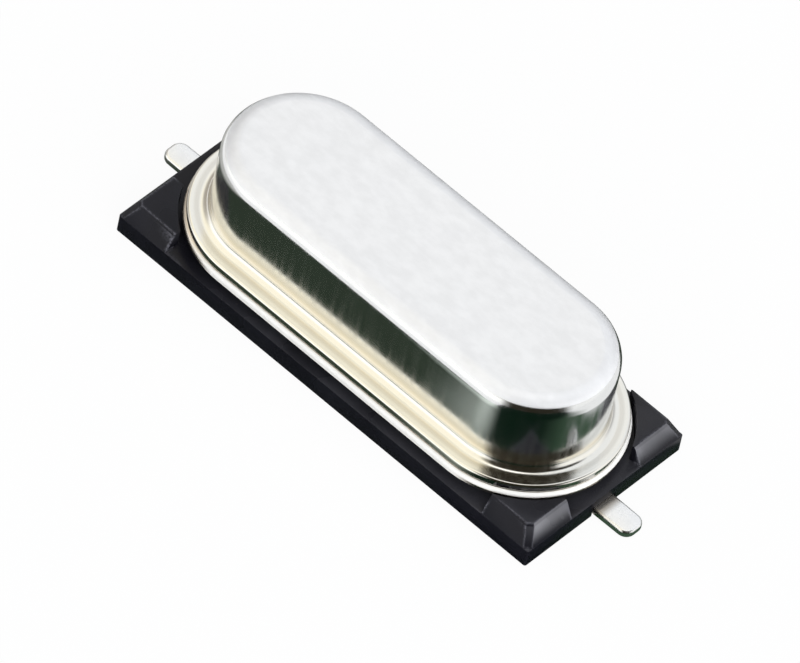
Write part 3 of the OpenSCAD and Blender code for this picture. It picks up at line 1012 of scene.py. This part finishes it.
class CRYSTAL_OT_make_insulator(bpy.types.Operator):
    """Makes the moulded insulator with a facet at each outer corner and softened edges"""

    bl_idname = "crystal.make_insulator"
    bl_label = "Make Insulator"
    bl_options = {"REGISTER", "UNDO"}

    def execute(self, context):
        settings = context.scene.crystal_insulator
        plastic = black_moulding(settings)
        maker = new_piece("insulator_maker", self.joined_solid())
        tool = new_piece("facet_tool", self.facet_wedges(settings))
        for piece in (maker, tool):
            piece.data.materials.append(plastic)
        add_boolean(maker, "Facets", tool, "DIFFERENCE")
        bevel = maker.modifiers.new("Edges", "BEVEL")
        bevel.width = settings.edge_radius
        bevel.segments = 2
        bevel.limit_method = "ANGLE"
        bevel.angle_limit = math.radians(25)
        bevel.harden_normals = True
        insulator = new_piece("insulator", baked_mesh(maker, "insulator"))
        bpy.data.objects.remove(maker)
        bpy.data.objects.remove(tool)
        finish_piece(insulator, "black_moulding", "insulator_base")
        return {"FINISHED"}

    def joined_solid(self):
        """A copy of the CAD mesh with its loose triangles joined into whole faces."""
        work = bmesh.new()
        work.from_mesh(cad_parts["insulator_base"].data)
        bmesh.ops.remove_doubles(work, verts=work.verts, dist=0.0008 * MM)
        level = math.radians(1.0)
        bmesh.ops.dissolve_limit(work, angle_limit=level, verts=work.verts, edges=work.edges)
        for face in work.faces:
            face.smooth = True
        mesh = mesh_from(work, "insulator_base")
        mesh.materials.clear()
        return mesh

    def facet_wedges(self, settings):
        """Four wedges that cut one narrow facet down the outer corner of each block."""
        top = INSULATOR_HIGH.z
        plate_edge = -settings.facet / 2
        block_edge = plate_edge - settings.lean * math.sqrt(2)
        outside, above = 0.5 * MM, top + 0.1 * MM
        outline = [
            (plate_edge, settings.plate_height),
            (block_edge, top - settings.chamfer),
            (block_edge - settings.chamfer, top),
            (block_edge - settings.chamfer, above),
            (outside, above),
            (outside, settings.plate_height),
        ]
        count = len(outline)
        work = bmesh.new()
        for side_x, side_y in ((-1, -1), (-1, 1), (1, -1), (1, 1)):
            out = Vector((side_x, side_y, 0)).normalized()
            across = Vector((-side_y, side_x, 0)).normalized() * outside
            x = INSULATOR_MIDDLE.x + side_x * INSULATOR_HALF.x
            y = INSULATOR_MIDDLE.y + side_y * INSULATOR_HALF.y
            first, last = (
                [work.verts.new(Vector((x, y, z)) + out * past + across * end) for past, z in outline]
                for end in (-1, 1)
            )
            work.faces.new(first)
            work.faces.new(last)
            for i in range(count):
                j = (i + 1) % count
                work.faces.new((first[i], first[j], last[j], last[i]))
        bmesh.ops.recalc_face_normals(work, faces=work.faces)
        return mesh_from(work, "facet_wedges")


class CRYSTAL_OT_finish_inside(bpy.types.Operator):
    """Gives the sealed pieces inside the can their materials"""

    bl_idname = "crystal.finish_inside"
    bl_label = "Finish Inside"
    bl_options = {"REGISTER", "UNDO"}

    def execute(self, context):
        finishes = (
            (seal_glass(), "seal_glass", ("glass_bead_left", "glass_bead_right")),
            (clip_metal(), "clip_metal", ("clip_left", "clip_right")),
            (lapped_quartz(), "quartz", ("quartz_blank",)),
            (silver_film(), "silver_film", ("electrode_upper", "electrode_lower")),
            (silver_adhesive(), "silver_adhesive", ("adhesive_left", "adhesive_right")),
        )
        for material, slot, nodes in finishes:
            for name in nodes:
                dress_node(name, material, slot)
        return {"FINISHED"}


# ---- Stage ----


def sky_material(world, settings):
    """A studio sky.  Shiny faces show a pale sky over a grey horizon behind, a broad warm light at
    the front left and a dark room behind the camera; satin faces are lit by a soft key light from
    the camera's side."""
    world.use_nodes = True
    tree = world.node_tree
    tree.nodes.clear()
    way = add_node(tree, "ShaderNodeTexCoord").outputs["Generated"]
    x, y, z = axes(tree, way)

    def towards(azimuth, elevation):
        """How far the way points as given by two angles in degrees, as a cosine."""
        a, e = math.radians(azimuth), math.radians(elevation)
        axis = (math.sin(a) * math.cos(e), -math.cos(a) * math.cos(e), math.sin(e))
        return dot_product(tree, way, axis)

    sky = blend_colours(tree, ramp(tree, z, 0.05, 0.6), settings.horizon, settings.overhead)
    front = blend_colours(tree, ramp(tree, z, 0.35, 0.65), settings.window, settings.front)

    # Round patches: the way to each, the cosines where it begins and is whole, and its colour
    for azimuth, elevation, begins, whole, shade in (
        (-40, 30, 0.1, 0.6, front),
        (112, 5, 0.64, 0.94, settings.side),
        (-100, 14, 0.80, 0.98, settings.far_left),
    ):
        patch = ramp(tree, towards(azimuth, elevation), begins, whole)
        sky = blend_colours(tree, patch, sky, shade)

    # The room stands behind the camera from the floor almost to the lamp, and widens upwards
    level = calc(tree, "SQRT", calc(tree, "ADD", times(tree, x, x), times(tree, y, y)))
    beside = calc(tree, "DIVIDE", towards(48, 0), calc(tree, "MAXIMUM", level, 0.001))
    beside = calc(tree, "ADD", beside, ramp(tree, z, 0.4, 0.95, 0.0, 0.22, smooth=False))
    room = times(tree, ramp(tree, beside, 0.72, 0.87), ramp(tree, z, 0.965, 0.99, 1.0, 0.0))
    sky = blend_colours(tree, room, sky, settings.room)
    sky = blend_colours(tree, ramp(tree, towards(108, 50), 0.95, 0.985), sky, settings.room)
    sky = blend_colours(tree, ramp(tree, z, 0.975, 0.995), sky, settings.lamp)

    key = blend_colours(tree, ramp(tree, towards(60, 35), 0.3, 0.95), settings.fill, settings.key)
    scattered = add_node(tree, "ShaderNodeLightPath").outputs["Is Diffuse Ray"]
    sky = blend_colours(tree, scattered, sky, key)
    light = add_node(tree, "ShaderNodeBackground", {"Color": sky, "Strength": 1.0})
    add_node(tree, "ShaderNodeOutputWorld", {"Surface": light.outputs[0]})


def floor_material(settings):
    """Pale floor: the camera, metal and glass see part of its white without the shadow."""
    material, tree = empty_material("pale_floor")
    rays = add_node(tree, "ShaderNodeLightPath").outputs
    seen = calc(tree, "ADD", rays["Is Camera Ray"], rays["Is Glossy Ray"])
    seen = calc(tree, "MINIMUM", calc(tree, "ADD", seen, rays["Is Transmission Ray"]), 1.0)
    matt = add_node(tree, "ShaderNodeBsdfDiffuse", {"Color": (*settings.floor, 1.0)}).outputs[0]
    glow = {"Color": (1, 1, 1, 1), "Strength": 1.0}
    white = add_node(tree, "ShaderNodeEmission", glow).outputs[0]
    inputs = {0: times(tree, seen, settings.floor_glow), 1: matt, 2: white}
    mixed = add_node(tree, "ShaderNodeMixShader", inputs).outputs[0]
    add_node(tree, "ShaderNodeOutputMaterial", {"Surface": mixed})
    return material


def make_glow(tree, shade):
    """Lets a card glow evenly in a colour, or in what a socket gives."""
    if not isinstance(shade, bpy.types.NodeSocket):
        shade = (*shade, 1.0)
    glow = add_node(tree, "ShaderNodeEmission", {"Color": shade, "Strength": 1.0})
    add_node(tree, "ShaderNodeOutputMaterial", {"Surface": glow.outputs[0]})


def back_card_material(settings):
    """Plain dark card along the back."""
    material, tree = empty_material("card_back")
    make_glow(tree, settings.card_front)
    return material


def front_card_material(settings):
    """Card along the front.  It carries a painted reflection of the pale floor in a gap that widens
    away from the part, beside the camera's dark corner, and it turns grey past the left end."""
    material, tree = empty_material("card_front")
    x, y, _ = axes(tree, add_node(tree, "ShaderNodeTexCoord").outputs["Object"])
    gap_start, gap_length = -3.7 * MM, 2.3 * MM
    away = calc(tree, "SUBTRACT", gap_start, y)
    along = calc(tree, "SUBTRACT", x, line(tree, away, 0.2, 3.59 * MM))

    def down_gap(near, far):
        """A value that changes evenly from the gap's near end to its far end."""
        return ramp(tree, away, 0.0, gap_length, near, far, smooth=False)

    fall = ramp(tree, along, -1.0 * MM, 0.45 * MM, 1.0, 0.0)
    rise = ramp(tree, along, down_gap(-2.8 * MM, -5.5 * MM), down_gap(0.4 * MM, -0.8 * MM))
    starts = ramp(tree, away, -1.0 * MM, -0.4 * MM)
    gap = times(tree, rise, down_gap(settings.gap_light, 0.9), fall, starts)
    shade = blend_colours(tree, fall, settings.card_corner, settings.card_front)
    # Painted reflection of the pale floor in the gap.
    shade = blend_colours(tree, gap, shade, settings.card_gap)
    shade = blend_colours(tree, ramp(tree, x, -6.0 * MM, -8.2 * MM), shade, settings.card_left)
    make_glow(tree, shade)
    return material


def right_card_material(settings):
    """Card round the near corner and the right end, painted with the pale floor at the back."""
    material, tree = empty_material("card_right")
    x, y, _ = axes(tree, add_node(tree, "ShaderNodeTexCoord").outputs["Object"])
    out = calc(tree, "MAXIMUM", calc(tree, "SUBTRACT", x, 6.5 * MM), -1.0 * MM)

    # The painted floor begins at one edge and is white behind another; straight lines bound both
    edge = line(tree, out, -1.48, 1.2 * MM)
    open_at = calc(tree, "MAXIMUM", edge, line(tree, out, -0.15, -0.84 * MM))
    far = calc(tree, "MINIMUM", line(tree, out, -0.125, 2.2 * MM), line(tree, out, 0.4, 0.9 * MM))
    white_at = calc(tree, "MAXIMUM", calc(tree, "ADD", edge, 0.35 * MM), far)
    floor = ramp(tree, y, open_at, white_at)
    past_corner = ramp(tree, y, -2.4 * MM, 0.2 * MM)
    shade = blend_colours(tree, past_corner, settings.card_corner, settings.card_right)
    make_glow(tree, blend_colours(tree, floor, shade, settings.card_floor))
    return material


def rectangle(x_low, y_low, x_high, y_high):
    """Corners of a rectangle on the floor."""
    return [(x_low, y_low), (x_high, y_low), (x_high, y_high), (x_low, y_high)]


def flat_stage(name, corners, height, material):
    """A flat stage piece from its corners, in millimetres."""
    mesh = bpy.data.meshes.new(name)
    mesh.from_pydata([(x * MM, y * MM, height * MM) for x, y in corners], [], [range(len(corners))])
    mesh.materials.append(material)
    piece = new_piece(name, mesh)
    return piece


class CRYSTAL_OT_make_stage(bpy.types.Operator):
    """Makes the floor, the light and the camera"""

    bl_idname = "crystal.make_stage"
    bl_label = "Make Stage"
    bl_options = {"REGISTER", "UNDO"}

    def execute(self, context):
        scene = context.scene
        settings = scene.crystal_stage
        reach = 700
        flat_stage("floor", rectangle(-reach, -reach, reach, reach), -0.01, floor_material(settings))
        self.lay_cards(settings)
        world = bpy.data.worlds.new("studio")
        sky_material(world, settings)
        scene.world = world
        self.set_camera(scene, settings)
        scene.view_settings.view_transform = "Standard"
        return {"FINISHED"}

    def lay_cards(self, settings):
        """Lays cards on the floor beside the part, which only its shiny faces show."""
        near, far = settings.front_reach / MM, settings.side_reach / MM
        left, right = INSULATOR_LOW.x / MM, INSULATOR_HIGH.x / MM
        half = INSULATOR_HIGH.y / MM
        corner, slant = 4.2, 0.2 * far
        front_right = [
            (corner, -half),
            (corner, -half - near),
            (corner + slant, -half - far),
            (right + far, -half - far),
            (right + far, -half),
        ]
        front = front_card_material(settings)
        beside = right_card_material(settings)
        behind = back_card_material(settings)
        for name, material, corners in (
            ("card_front", front, rectangle(left - near, -half - near, corner, -half)),
            ("card_left", front, rectangle(left - near, -half, left, half)),
            ("card_corner", beside, front_right),
            ("card_right", beside, rectangle(right, -half, right + far, half + far)),
            ("card_back", behind, rectangle(left - near, half, right, half + far)),
        ):
            card = flat_stage(name, corners, -0.005, material)
            card.visible_camera = False
            card.visible_diffuse = False
            card.visible_transmission = False
            card.visible_volume_scatter = False
            card.visible_shadow = False

    def set_camera(self, scene, settings):
        """Places the camera by its angles round the point it looks at."""
        a, e, r = settings.azimuth, settings.elevation, settings.roll
        back = Vector((math.sin(a) * math.cos(e), -math.cos(a) * math.cos(e), math.sin(e)))
        right = Vector((math.cos(a), math.sin(a), 0))
        up = back.cross(right)
        side = right * math.cos(r) + up * math.sin(r)
        rise = up * math.cos(r) - right * math.sin(r)
        data = bpy.data.cameras.new("camera")
        data.lens = settings.lens
        data.sensor_width = 36.0
        data.clip_start = 0.01
        camera = bpy.data.objects.new("camera", data)
        turn = Matrix((side, rise, back)).transposed().to_4x4()
        camera.matrix_world = Matrix.Translation(Vector(settings.aim) + back * settings.distance) @ turn
        scene.collection.objects.link(camera)
        scene.camera = camera


class CRYSTAL_PT_panel(bpy.types.Panel):
    """Lists the steps that make the crystal, with their settings"""

    bl_idname = "CRYSTAL_PT_panel"
    bl_label = "Crystal"
    bl_space_type = "VIEW_3D"
    bl_region_type = "UI"
    bl_category = "Crystal"

    def draw(self, context):
        layout = self.layout
        layout.use_property_split = True
        for step, group in STEPS:
            box = layout.box()
            box.operator(step)
            if group:
                settings = getattr(context.scene, group)
                for name in settings.__annotations__:
                    box.prop(settings, name)


STEPS = (
    (CRYSTAL_OT_make_cover.bl_idname, "crystal_cover"),
    (CRYSTAL_OT_make_header.bl_idname, "crystal_header"),
    (CRYSTAL_OT_make_leads.bl_idname, "crystal_leads"),
    (CRYSTAL_OT_make_insulator.bl_idname, "crystal_insulator"),
    (CRYSTAL_OT_finish_inside.bl_idname, None),
    (CRYSTAL_OT_make_stage.bl_idname, "crystal_stage"),
)

GROUPS = (
    ("crystal_cover", CoverSettings),
    ("crystal_header", HeaderSettings),
    ("crystal_leads", LeadSettings),
    ("crystal_insulator", InsulatorSettings),
    ("crystal_stage", StageSettings),
)

CLASSES = (
    CRYSTAL_OT_make_cover,
    CRYSTAL_OT_make_header,
    CRYSTAL_OT_make_leads,
    CRYSTAL_OT_make_insulator,
    CRYSTAL_OT_finish_inside,
    CRYSTAL_OT_make_stage,
    CRYSTAL_PT_panel,
)


def register():
    for name, group in GROUPS:
        bpy.utils.register_class(group)
        setattr(bpy.types.Scene, name, PointerProperty(type=group))
    for item in CLASSES:
        bpy.utils.register_class(item)


def unregister():
    for item in reversed(CLASSES):
        bpy.utils.unregister_class(item)
    for name, group in reversed(GROUPS):
        delattr(bpy.types.Scene, name)
        bpy.utils.unregister_class(group)


def main():
    """Makes every piece and the stage."""
    register()
    for step, _ in STEPS:
        family, name = step.split(".")
        getattr(getattr(bpy.ops, family), name)()


if __name__ == "__main__":
    main()
